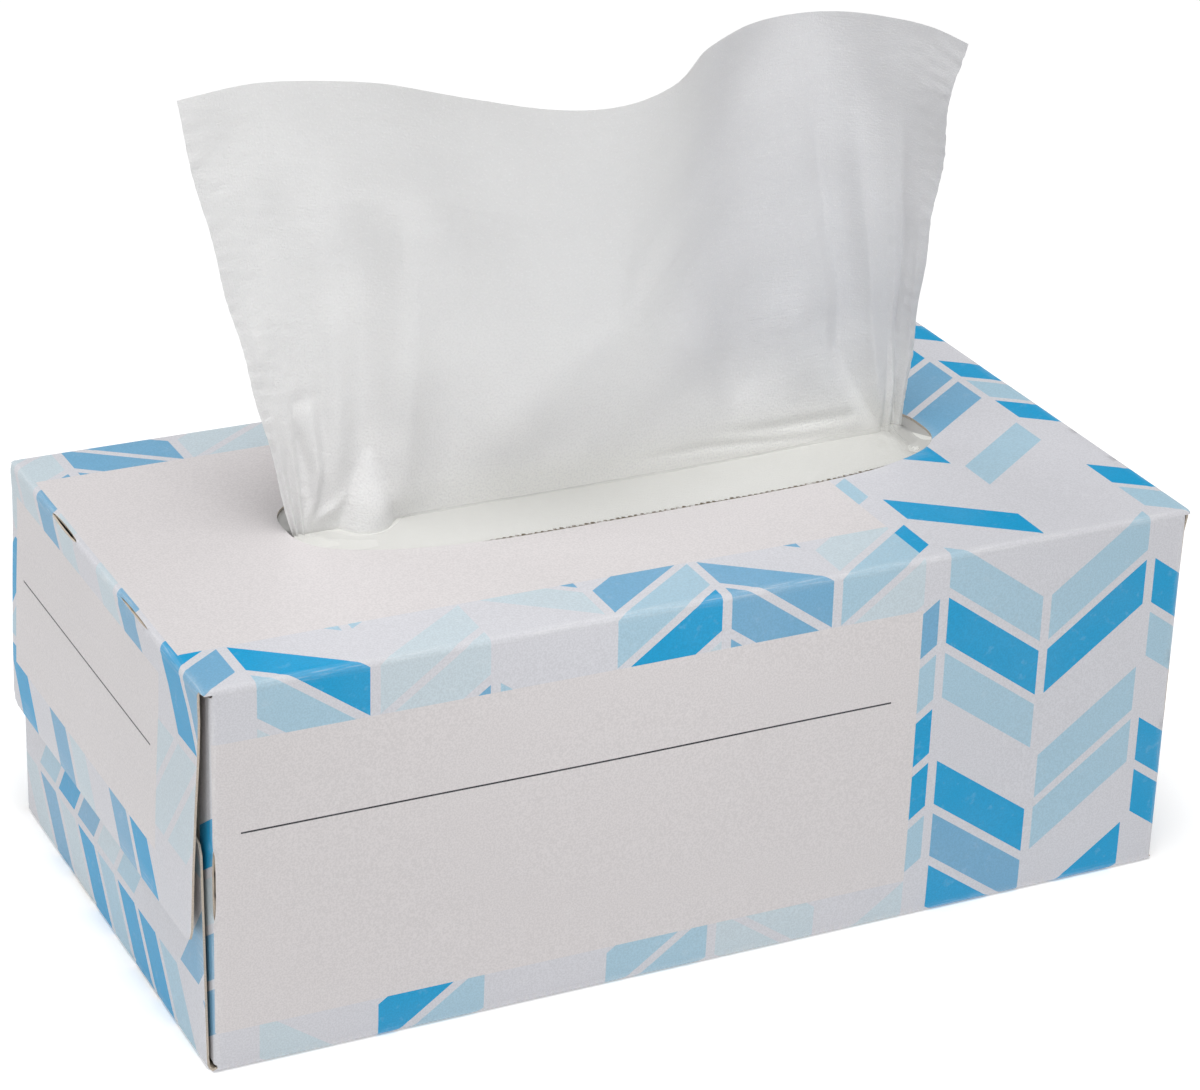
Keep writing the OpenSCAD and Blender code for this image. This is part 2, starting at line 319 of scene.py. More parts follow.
def tissue_paper(name, see_through, backed, tucked_shade):
    """Soft white creped tissue, with painted shade towards its top edge, on its right part and
    below the slit.

    see_through and backed are the shares of light that it lets through, high up and at the slit.
    tucked_shade is how much painted shade, greyer and warmer, lies on the part below the slit under
    the film, from 0 to 1.
    """
    material, graph = new_material(name)
    sheet = graph.node("ShaderNodeUVMap", {"uv_map": "flat_sheet"}).outputs[0]
    cloud = graph.noise(sheet, 90.0, 4.0, 0.6)
    crepe = graph.noise(graph.stretched(sheet, (0.35, 1.6, 1.0)), 1500.0, 3.0, 0.6)
    grain = graph.noise(sheet, 2100.0)
    along, up = graph.in_mm(sheet)
    soft = graph.mix(graph.smooth(cloud, 0.35, 0.70), rgb(0.945, 0.945, 0.945),
                     rgb(0.975, 0.975, 0.970))
    doubled = graph.smooth(up, 13.0, 4.0) * graph.smooth(along, -62.0, -20.0)
    # Painted shade: the sheet grows darker towards its top edge.
    soft = graph.mix(graph.smooth(up, 25.0, 75.0) * 0.6, soft, rgb(0.80, 0.80, 0.805))
    # Painted shade: the right part of the sheet, which turns away from the light, is darker and a
    # little lavender.
    right_shade = graph.smooth(along, 2.0, 30.0) * graph.smooth(up, 8.0, 35.0)
    soft = graph.mix(right_shade * 0.85, soft, rgb(0.71, 0.71, 0.745))
    soft = graph.mix(doubled * 0.8, soft, rgb(0.975, 0.975, 0.945))
    # Painted shade under the film: the part below the slit is greyer and warmer, and darkest
    # towards the slit's ends.
    tucked_shade_colour = graph.mix(graph.smooth(abs(along + 12.0), 80.0, 25.0), rgb(0.73, 0.73, 0.69),
                       rgb(0.83, 0.83, 0.795))
    soft = graph.mix(graph.smooth(up, 1.5, -0.8) * tucked_shade, soft, tucked_shade_colour)
    soft = graph.mix(graph.smooth(grain, 0.60, 0.30) * 0.7, soft, rgb(0.84, 0.84, 0.845))
    colour = graph.mix(graph.smooth(grain, 0.58, 0.72) * 0.8, soft, rgb(0.985, 0.985, 0.99))
    normal = graph.bump(crepe, 0.0004, 0.40)
    normal = graph.bump(grain, 0.0003, 0.40, normal)
    body = graph.shader({"Base Color": colour, "Roughness": 0.92, "Specular IOR Level": 0.22,
                         "Sheen Weight": 0.12, "Sheen Roughness": 0.5, "Normal": normal})
    through = graph.node("ShaderNodeBsdfTranslucent", {},
                         {"Color": rgb(0.97, 0.97, 0.965), "Normal": normal}).outputs[0]
    share = graph.smooth(up, -2.0, 42.0) * (see_through - backed) + backed
    surface = graph.node("ShaderNodeMixShader", {}, {"Fac": share, 1: body, 2: through})
    finish_material(graph, surface.outputs[0])
    return material


# ------------ meshes

def make_object(name, points, faces, materials, flat=None, smooth=True):
    """A mesh object from points in millimetres, with its flat coordinates as a UV map in metres."""
    mesh = bpy.data.meshes.new(name)
    mesh.from_pydata((np.asarray(points) * MM).tolist(), [], [list(map(int, f)) for f in faces])
    mesh.validate()
    if smooth:
        mesh.shade_smooth()
    if flat is not None:
        layer = mesh.uv_layers.new(name="flat_sheet")
        corner = np.empty(len(mesh.loops), np.int32)
        mesh.loops.foreach_get("vertex_index", corner)
        layer.data.foreach_set("uv", (np.asarray(flat)[corner] * MM).astype(np.float32).ravel())
    thing = bpy.data.objects.new(name, mesh)
    bpy.context.scene.collection.objects.link(thing)
    for material in materials:
        mesh.materials.append(material)
    return thing


def give_thickness(thing, thickness, offset, inner=0, rim=0):
    """A wall of that thickness in millimetres behind the faces, made part of the mesh."""
    wall = thing.modifiers.new("wall", "SOLIDIFY")
    wall.thickness = thickness * MM
    wall.offset = offset
    wall.use_even_offset = True
    wall.use_quality_normals = True
    wall.material_offset = inner
    wall.material_offset_rim = rim
    apply_modifiers(thing)


def apply_modifiers(thing):
    shaped = bpy.data.meshes.new_from_object(
        thing.evaluated_get(bpy.context.evaluated_depsgraph_get()))
    thing.modifiers.clear()
    old = thing.data
    thing.data = shaped
    bpy.data.meshes.remove(old)
    shaped.name = thing.name


def sharpen(thing, degrees):
    """Marks the edges of the mesh that turn more than that many degrees as sharp."""
    thing.data.set_sharp_from_angle(angle=math.radians(degrees))


def smooth01(t):
    t = np.clip(t, 0.0, 1.0)
    return t * t * (3.0 - 2.0 * t)


def grid_lines(low, high, coarse, bands, fine):
    """Places of grid lines between low and high: coarse on the panels and fine over the folds."""
    places = []
    edges = [low] + [p for band in sorted(bands) for p in band] + [high]
    for start, stop in zip(edges[0::2], edges[1::2]):
        count = max(1, round((stop - start) / coarse))
        places += list(np.linspace(start, stop, count + 1))
    for start, stop in bands:
        count = max(1, round((stop - start) / fine))
        places += list(np.linspace(start, stop, count + 1)[1:-1])
    return np.unique(np.round(places, 4))


def split_at_lines(loop, x_lines, y_lines):
    """The closed loop with a point wherever it crosses a grid line."""
    points = []
    for a, b in zip(loop, np.roll(loop, -1, axis=0)):
        shares = [0.0]
        for axis, lines in ((0, x_lines), (1, y_lines)):
            span = b[axis] - a[axis]
            if abs(span) > 1e-6:
                t = (lines - a[axis]) / span
                shares += list(t[(t > 0.02) & (t < 0.98)])
        shares = np.sort(shares)
        keep = np.concatenate(([True], np.diff(shares) > 1e-3))
        points += [a + (b - a) * t for t in shares[keep]]
    return np.array(points)


def inside(points, loops):
    """Which points lie inside by the even-odd rule over all the loops."""
    odd = np.zeros(len(points), bool)
    px, py = points[:, 0:1], points[:, 1:2]
    for loop in loops:
        ax, ay = loop[:, 0], loop[:, 1]
        bx, by = np.roll(ax, -1), np.roll(ay, -1)
        crosses = (ay[None, :] > py) != (by[None, :] > py)
        with np.errstate(divide="ignore", invalid="ignore"):
            at = ax + (py - ay) * (bx - ax) / (by - ay)
        odd ^= (np.sum(crosses & (px < at), axis=1) % 2).astype(bool)
    return odd


def distance_to_loop(points, loop):
    best = np.full(len(points), 1e9)
    for a, b in zip(loop, np.roll(loop, -1, axis=0)):
        along = b - a
        t = np.clip((points - a) @ along / max(along @ along, 1e-12), 0.0, 1.0)
        best = np.minimum(best, np.hypot(*(points - a - t[:, None] * along).T))
    return best


def flat_triangles(x_lines, y_lines, loops, clear):
    """Triangles that fill the first loop round the holes of the others, on the points of a grid."""
    grid = np.array([(x, y) for x in x_lines for y in y_lines])
    grid = grid[inside(grid, loops)]
    for loop in loops:
        near = (np.abs(grid - (loop.max(0) + loop.min(0)) / 2)
                < (loop.max(0) - loop.min(0)) / 2 + 3.0).all(1)
        gap = np.full(len(grid), 1e9)
        gap[near] = distance_to_loop(grid[near], loop)
        grid = grid[gap > clear]
    points, edges = [grid], []
    start = len(grid)
    for loop in loops:
        points.append(loop)
        count = len(loop)
        edges += [(start + i, start + (i + 1) % count) for i in range(count)]
        start += count
    joined = np.concatenate(points)
    places, _, faces, *_ = delaunay_2d_cdt([Vector(p) for p in joined], edges, [], 0, 1e-5)
    flat = np.array([(p.x, p.y) for p in places])
    corners = np.array([f for f in faces if len(f) == 3])
    middle = flat[corners].mean(1)
    corners = corners[inside(middle, loops)]
    a, b, c = (flat[corners[:, k]] for k in range(3))
    turn = (b[:, 0] - a[:, 0]) * (c[:, 1] - a[:, 1]) - (b[:, 1] - a[:, 1]) * (c[:, 0] - a[:, 0])
    corners = np.where((turn > 0)[:, None], corners, corners[:, ::-1])
    used = np.unique(corners)
    back = np.full(len(flat), -1)
    back[used] = np.arange(len(used))
    return flat[used], back[corners]


# ------------ carton

ARC = FOLD_R * math.pi / 2
# Places of the folds along the wrap, s, from the middle of the top panel towards the back
TOP_HALF = BOX_D / 2 - FOLD_R
SIDE_RUN = BOX_H - 2 * FOLD_R
FRONT_S = (-TOP_HALF - ARC - SIDE_RUN, -TOP_HALF - ARC)
BOTTOM_START = FRONT_S[0] - ARC
BOTTOM_END = BOTTOM_START - (GLUE_Y - FOLD_R + TOP_HALF)
GLUE_START = BOTTOM_END - ARC
GLUE_END = GLUE_START - (GLUE_FLAP_W - FOLD_R)
BACK_END = TOP_HALF + ARC + (SIDE_RUN + FOLD_R - 0.9)
WRAP_FOLDS = [(GLUE_START, BOTTOM_END), (BOTTOM_START, FRONT_S[0]), (FRONT_S[1], -TOP_HALF),
              (TOP_HALF, TOP_HALF + ARC)]
# How far along the wrap the board still bends with the top flap's fold or with the bottom flap's
TOP_REACH, BOTTOM_REACH = 60.45, -145.35
# The low beads that creasing leaves beside each fold: height, width and distance from the fold
BEAD_H, BEAD_W, BEAD_OFF = 0.10, 0.35, 0.45
END_FOLDS = {"dust": DUST_X - FOLD_R, "bottom": BOTTOM_X - FOLD_R, "top": TOP_X - FOLD_R}
# How much closer the outer flaps lie at the right end, and how far the top one is cut back there
TIGHTER = {"dust": 0.0, "bottom": 0.5, "top": 0.9}
CUT_BACK = 0.9


def end_fold(kind, x):
    """Where the fold of an end's flap begins, as a distance from the middle of the box."""
    return END_FOLDS[kind] - TIGHTER[kind] * (x > 0)


def fold_start(x, s):
    """The place along the box where the board of each point turns down into its flap."""
    return np.where(np.abs(s) < TOP_REACH, end_fold("top", x),
                    np.where(s < BOTTOM_REACH, end_fold("bottom", x), end_fold("dust", x)))


def wrap_section():
    """The sleeve's section: rows of place along the wrap, y, z and heading, by rising place."""
    back_run = BACK_END - TOP_HALF - ARC
    s, y, z, heading = BACK_END, BOX_D / 2, BOX_H - FOLD_R - back_run, math.pi / 2
    rows = [(s, y, z, heading)]
    runs = [back_run, 2 * TOP_HALF, SIDE_RUN, BOTTOM_START - BOTTOM_END, GLUE_START - GLUE_END]
    for number, run in enumerate(runs):
        if number:
            cy, cz = y - FOLD_R * math.sin(heading), z + FOLD_R * math.cos(heading)
            for step in range(1, 13):
                turned = heading + math.pi / 2 * step / 12
                rows.append((s - ARC * step / 12, cy + FOLD_R * math.sin(turned),
                             cz - FOLD_R * math.cos(turned), turned))
            s, y, z, heading = rows[-1]
        y += run * math.cos(heading)
        z += run * math.sin(heading)
        s -= run
        rows.append((s, y, z, heading))
    return np.array(rows[::-1])


def panel_swell(x, s):
    """How far each panel bulges out, in millimetres."""
    across_top = np.clip(1 - (s / (BOX_D / 2)) ** 2, 0, 1)
    along = np.clip(1 - (x / (BOX_L / 2)) ** 2, 0, 1)
    side = np.clip(1 - ((np.abs(s) - 103) / 42) ** 2, 0, 1) * (np.abs(s) > 60) * (s > -146)
    wander = 0.25 * np.sin(x / 31 + s / 23) + 0.18 * np.sin(x / 13 - s / 37 + 1.3)
    rim = np.exp(-np.abs(np.hypot((x - OPEN_X) / 80, (s - OPEN_Y) / 24) - 1) * 9)
    return (across_top * along * (0.30 + 0.25 * wander) + side * along * (0.55 + wander * 0.5)
            + 0.25 * rim * across_top * np.sin(x / 17 + 0.6))


def fold_carton(flat):
    """Points of the folded carton's outside for points of the flat sheet."""
    section = wrap_section()
    x, s = flat.T
    y, z, heading = (np.interp(s, section[:, 0], section[:, k]) for k in (1, 2, 3))
    out_y, out_z = np.sin(heading), -np.cos(heading)
    on_top = np.abs(s) < TOP_REACH
    on_bottom = s < BOTTOM_REACH
    start = fold_start(x, s)
    loose = np.where(x > 0, 0.2, 1.0)
    lean = np.where(on_top, 0.022 * loose, np.where(on_bottom, 0.006 * loose, -0.004))
    past = np.abs(x) - start
    bend = np.clip(past, 0, ARC) / FOLD_R
    rest = np.maximum(past - ARC, 0)
    bow = np.where(on_top, np.interp(rest, [0, 6, 14, 26, 40, 50, 62],
                                     [0, -0.35, -0.30, 0.05, 0.30, 0.30, 0.35]), 0) * loose
    depth = FOLD_R * (1 - np.cos(bend)) + rest * np.cos(lean)
    reach = np.minimum(np.abs(x), start) + FOLD_R * np.sin(bend) + rest * np.sin(lean) + bow
    swell = panel_swell(x, s) * (past < 0)
    for low, high in WRAP_FOLDS:
        for edge in (low - BEAD_OFF, high + BEAD_OFF):
            swell = swell - BEAD_H * np.exp(-((s - edge) / BEAD_W) ** 2) * (past < 0)
    depth = depth + BEAD_H * np.exp(-((past + BEAD_OFF) / BEAD_W) ** 2)
    reach = reach - BEAD_H * np.exp(-((past - ARC - BEAD_OFF) / BEAD_W) ** 2)
    inward = depth - swell
    return np.stack([np.sign(x) * reach, y - out_y * inward, z - out_z * inward], 1)


def half_outline(set_in):
    """The flat sheet's outline to one side, from the glue flap up to the back panel's free edge.

    set_in is how much further the top flap's front edge stands back.
    """
    def flap(kind, low, high, length, taper, low_in=0.0):
        root = END_FOLDS[kind]
        tip = root + ARC + length - FOLD_R
        return [(root + 1.1, low), (root + 6.0, low + taper * 0.1 + low_in),
                (tip - 3, low + taper * 0.95 + low_in), (tip - 0.8, low + taper + 0.9 + low_in),
                (tip, low + taper + 3 + low_in), (tip, high - taper - 3),
                (tip - 0.8, high - taper - 0.9), (tip - 3, high - taper * 0.95), (root + 1.1, high)]
    width = BOX_D / 2 - FLAP_INSET
    corner = DUST_X - 0.5
    low, high = FRONT_S[0] + DUST_INSET - FOLD_R, FRONT_S[1] - DUST_INSET + FOLD_R
    sleeve = DUST_X - FOLD_R
    # Cut corners between the outer flaps and the dust flaps
    top_corner = [(corner, FRONT_S[1]), (corner, -60.43), (113.6, -60.35), (114.1, -59.9),
                  (114.4, -59.2)]
    bottom_corner = [(112.9, BOTTOM_START), (112.8, -146.3), (112.4, -145.45), (corner, -145.37),
                     (corner, FRONT_S[0])]
    return ([(sleeve - 2, GLUE_END), (sleeve - 0.5, GLUE_START)]
            + flap("bottom", BOTTOM_END + 0.01, BOTTOM_START - 0.4, BOTTOM_FLAP_L, FLAP_TAPER)
            + bottom_corner
            + flap("dust", low, high, DUST_FLAP_L, DUST_TAPER)
            + top_corner
            + flap("top", -width, width, TOP_FLAP_L, FLAP_TAPER, set_in)
            + [(x, -s) for x, s in top_corner[::-1]]
            + flap("dust", -high, -low, DUST_FLAP_L, DUST_TAPER)
            + [(sleeve, BACK_END)])


def opening_edge():
    """The torn oval with the uneven stubs that the perforation leaves."""
    turn = np.linspace(0, 2 * math.pi, 4001)[:-1]
    def oval(t):
        c, s = np.cos(t), np.sin(t)
        return np.stack([OPEN_X + OPEN_L / 2 * np.sign(c) * np.abs(c) ** (2 / OPEN_POWER),
                         OPEN_Y + OPEN_W / 2 * np.sign(s) * np.abs(s) ** (2 / OPEN_POWER)], 1)
    line = oval(turn)
    run = np.concatenate(([0], np.cumsum(np.hypot(*np.diff(line, axis=0).T))))
    total = run[-1] + np.hypot(*(line[0] - line[-1]))
    stubs = round(total / 1.45)
    places, cut = [], []
    for k in range(stubs):
        wide = 0.30 + 0.20 * rng.random()
        tall = 0.35 + 0.45 * rng.random()
        places += [(k + p) * total / stubs for p in (0.10, 0.20, 0.22 + wide, 0.34 + wide)]
        cut += [0.0, tall, tall * (0.6 + 0.4 * rng.random()), 0.04]
    places, cut = np.array(places), np.array(cut)
    t = np.interp(places, np.concatenate((run, [total])), np.concatenate((turn, [2 * math.pi])))
    along = oval(t + 1e-3) - oval(t - 1e-3)
    along /= np.hypot(*along.T)[:, None]
    inward = np.stack([-along[:, 1], along[:, 0]], 1)
    at = oval(t)[:, 0]
    ragged = 0.06 + 0.94 * smooth01((at + 36) / 6) * smooth01((62 - at) / 8)
    return oval(t) + inward * (cut * ragged)[:, None]


def crease_slits():
    """Thin slits along the folds, pointed at both ends, on the flat sheet."""
    loops = []
    def lens(x, s, along_x, wide):
        t = np.linspace(-1, 1, 15)
        side = wide / 2 * np.sqrt(np.clip(1 - t * t, 0, 1))
        run = np.concatenate([np.stack([t * SLIT_L / 2, side], 1),
                              np.stack([t[::-1] * SLIT_L / 2, -side[::-1]], 1)[1:-1]])
        loops.append(np.array([x, s]) + (run if along_x else run[:, ::-1]))
    for side in (-1, 1):
        for at, wide in ((-SLIT_AT, 0.55), (SLIT_AT, 1.15)):
            lens(side * (end_fold("top", side) + ARC / 2), at + 0.5, False, wide)
            lens(side * (end_fold("bottom", side) + ARC / 2),
                 (BOTTOM_START + BOTTOM_END) / 2 + at, False, 0.5)
        for middle in (sum(FRONT_S) / 2, -sum(FRONT_S) / 2):
            lens(side * (END_FOLDS["dust"] + ARC / 2), middle, False, 0.8)
    return loops


def build_carton(printed, inside_board, edge_board):
    right = np.array(half_outline(CUT_BACK))
    left = np.array(half_outline(0.0))[::-1] * (-1, 1)
    outline = np.concatenate([right, left])
    # Grid lines stand close together over the folds
    x_bands = [(-116.6, -110.0), (110.0, 116.6)]
    s_bands = [(low - 1.4, high + 1.4) for low, high in WRAP_FOLDS]
    x_lines = grid_lines(outline[:, 0].min(), outline[:, 0].max(), 4.2, x_bands, 0.42)
    s_lines = grid_lines(GLUE_END, BACK_END, 4.2, s_bands, 0.42)
    loops = [split_at_lines(outline, x_lines, s_lines), opening_edge(), *crease_slits()]
    flat, faces = flat_triangles(x_lines, s_lines, loops, 0.3)
    points = fold_carton(flat)
    # The flat sheet shows its printed side, so its faces turn outwards as they are
    carton = make_object("folded_carton", points, faces, [printed, inside_board, edge_board], flat)
    x, s = flat.T
    near = np.zeros(len(flat))
    for low, high in WRAP_FOLDS:
        near = np.maximum(near, np.exp(-((s - (low + high) / 2) / 1.1) ** 2) * (np.abs(x) < 113))
    past = np.abs(x) - fold_start(x, s)
    near = np.maximum(near, np.exp(-((past - ARC / 2) / 1.1) ** 2))
    for loop in loops[:2]:
        near = np.maximum(near, 0.8 * np.exp(-(distance_to_loop(flat, loop) / 0.5) ** 2))
    attribute = carton.data.attributes.new("fold", "FLOAT", "POINT")
    attribute.data.foreach_set("value", near.astype(np.float32))
    give_thickness(carton, BOARD_T, -1.0, inner=1, rim=2)
    sharpen(carton, 50)
    return carton


# ------------ film

SLIT_ENDS = (-73.0, 79.0)


def slit_line(x):
    """The slit's place across the box: it bends back a little towards its right end."""
    return FILM_SLIT_Y + 2.2 * smooth01((x - 10) / 60)


def slit_lips(x, y):
    """How far the film's lips are drawn up by the tissue, in millimetres."""
    past_end = np.maximum(SLIT_ENDS[0] - x, 0) + np.maximum(x - SLIT_ENDS[1], 0)
    away = np.hypot(np.abs(y - slit_line(x)), past_end * 1.5)
    tall = 1.1 + 0.9 * smooth01((x - 40) / 30)
    return tall * np.exp(-(away / 5.0) ** 1.2) + puckers(x, y)


def puckers(x, y):
    """Small creases of the film that fan out from the gathered paper at the ends of the slit."""
    fan = np.zeros_like(x)
    for end, end_x, tall in ((-1, SLIT_ENDS[0] + 3, 0.4), (1, 70.0, 0.8)):
        dx, dy = x - end_x, y - slit_line(x)
        radius = np.hypot(dx, dy)
        turn = np.arctan2(dy, dx * end) / math.pi * 3.4 + 0.3 * end
        crest = np.abs((turn % 1.0) * 2 - 1) ** 1.5
        fan += tall * (crest - 0.4) * smooth01(radius / 4) * np.exp(-(radius / 12) ** 2)
    return fan


def build_film(material):
    x0, x1 = OPEN_X - OPEN_L / 2 - FILM_LAP, OPEN_X + OPEN_L / 2 + FILM_LAP
    y0, y1 = OPEN_Y - OPEN_W / 2 - FILM_LAP, OPEN_Y + OPEN_W / 2 + FILM_LAP
    frame_loop = np.array([(x0, y0), (x1, y0), (x1, y1), (x0, y1)])
    t = np.linspace(-1, 1, 90)
    wide = 1.6 * np.clip(1 - np.abs(t) ** 6, 0, 1) ** 0.5
    slit_x = (SLIT_ENDS[0] + SLIT_ENDS[1]) / 2 + t * (SLIT_ENDS[1] - SLIT_ENDS[0]) / 2
    pushed = CONE_OUT * np.clip(1 - ((slit_x - slit_place(CONE_AT)) / (CONE_HALF + 0.8)) ** 2, 0, 1)
    line = slit_line(slit_x)
    slit = np.concatenate([np.stack([slit_x, line - wide - pushed], 1),
                           np.stack([slit_x, line + wide], 1)[-2:0:-1]])
    x_lines = grid_lines(x0, x1, 2.2, [(-80, -64), (62, 84)], 0.8)
    y_lines = grid_lines(y0, y1, 1.8, [(-8, 10)], 0.8)
    loops = [split_at_lines(frame_loop, x_lines, y_lines), slit]
    flat, faces = flat_triangles(x_lines, y_lines, loops, 0.35)
    x, y = flat.T
    under = (np.abs((x - OPEN_X) / (OPEN_L / 2 - 1.5)) ** OPEN_POWER
             + np.abs((y - OPEN_Y) / (OPEN_W / 2 - 1.5)) ** OPEN_POWER)
    free = smooth01((1.0 - under) / 0.25)
    pressed = 0.55 * smooth01((1.0 - under) / 0.7)
    height = FILM_TOP - 0.02 + free * (slit_lips(x, y) + pressed + 0.12 * np.sin(x / 9 + y / 5))
    points = np.stack([x, y, height], 1)
    film = make_object("slit_film", points, faces, [material], flat)
    give_thickness(film, THIN_T, -1.0)
    return film


# ------------ tissues

def folded_layer(material):
    """One folded tissue of the stack: a slab with rounded long folds and slightly wavy cut ends."""
    pitch = (STACK_TOP - BOARD_T) / LAYERS
    half = pitch / 2 * 0.97
    steps = 10
    around = [(-STACK_D / 2 + half - half * math.sin(a), half - half * math.cos(a))
              for a in np.linspace(0, math.pi, steps)]
    around += [(STACK_D / 2 - half + half * math.sin(a), half + half * math.cos(a))
               for a in np.linspace(0, math.pi, steps)]
    around = np.array(around[::-1])
    xs = np.linspace(-STACK_L / 2, STACK_L / 2, 19)
    points, faces = [], []
    n = len(around)
    for x in xs:
        drawn_in = 0.25 * (1 - math.sin(x / 17.0))
        points += [(x, y - math.copysign(drawn_in, y), z) for y, z in around]
    for i in range(len(xs) - 1):
        for k in range(n):
            a, b = i * n + k, i * n + (k + 1) % n
            faces.append((a, b, b + n, a + n))
    faces.append(tuple(range(n))[::-1])
    faces.append(tuple(range((len(xs) - 1) * n, len(xs) * n)))
    layer = make_object("folded_tissues", points, faces, [material],
                        np.array([(p[0], p[1]) for p in points]))
    return layer, pitch


def build_stack(material):
    """The interfolded stack: Geometry Nodes lay one folded layer on the next, a little astray."""
    layer, pitch = folded_layer(material)
    tree = bpy.data.node_groups.new("laid_layers", "GeometryNodeTree")
    graph = Graph(tree)
    made = tree.interface
    made.new_socket("Layer", in_out="INPUT", socket_type="NodeSocketGeometry")
    sizes = {name: made.new_socket(name, in_out="INPUT", socket_type=kind).identifier
             for name, kind in (("Layers", "NodeSocketInt"), ("Pitch", "NodeSocketFloat"),
                                ("Astray", "NodeSocketFloat"), ("Turned", "NodeSocketFloat"))}
    made.new_socket("Stack", in_out="OUTPUT", socket_type="NodeSocketGeometry")
    given = graph.node("NodeGroupInput").outputs
    step = graph.combined(Z=given["Pitch"])
    line = graph.node("GeometryNodeMeshLine", {}, {"Count": given["Layers"], "Offset": step})
    spread = graph.combined(X=given["Astray"], Y=given["Astray"])
    away = graph.node("FunctionNodeRandomValue", {"data_type": "FLOAT_VECTOR"},
                      {"Min": graph.value("ShaderNodeVectorMath", {"operation": "SCALE"},
                                          {0: spread, "Scale": -1.0}),
                       "Max": spread, "Seed": 5}).outputs[0]
    turn = graph.node("FunctionNodeRandomValue", {"data_type": "FLOAT_VECTOR"},
                      {"Max": graph.combined(Z=given["Turned"]), "Seed": 8}).outputs[0]
    moved = graph.node("GeometryNodeSetPosition", {},
                       {"Geometry": line.outputs[0], "Offset": away})
    laid = graph.node("GeometryNodeInstanceOnPoints", {},
                      {"Points": moved.outputs[0], "Instance": given["Layer"], "Rotation": turn})
    solid = graph.node("GeometryNodeRealizeInstances", {}, {"Geometry": laid.outputs[0]})
    painted = graph.node("GeometryNodeSetMaterial", {},
                         {"Geometry": solid.outputs[0], "Material": material})
    graph.node("NodeGroupOutput", {}, {"Stack": painted.outputs[0]})
    laying = layer.modifiers.new("laying", "NODES")
    laying.node_group = tree
    for name, size in (("Layers", LAYERS), ("Pitch", pitch * MM), ("Astray", 0.3 * MM),
                       ("Turned", 0.003)):
        laying[sizes[name]] = size
    layer.data.transform(Matrix.Translation((0, 0, BOARD_T * MM)))
    apply_modifiers(layer)
    sharpen(layer, 40)
    return layer


# The pulled tissue's top edge seen from above, at equal steps of its width
EDGE = np.array([[-91, 14], [-72, 13], [-53, 3], [-37, -12], [-17, -21], [5, -16],
                 [22, 0], [39, 14], [57, 19], [70, 4], [77, -13]], float)
# Where the flat sheet's columns leave the slit: even in the middle, drawn together at both ends
SHEET_HALF = 105.0
FOOT = np.array([[-105, -71.3], [-84, -68.4], [-74, -65.2], [-64, -58.2], [0, 1.0], [60, 56.5],
                 [76, 67.5], [86, 71.5], [105, 77.0]])
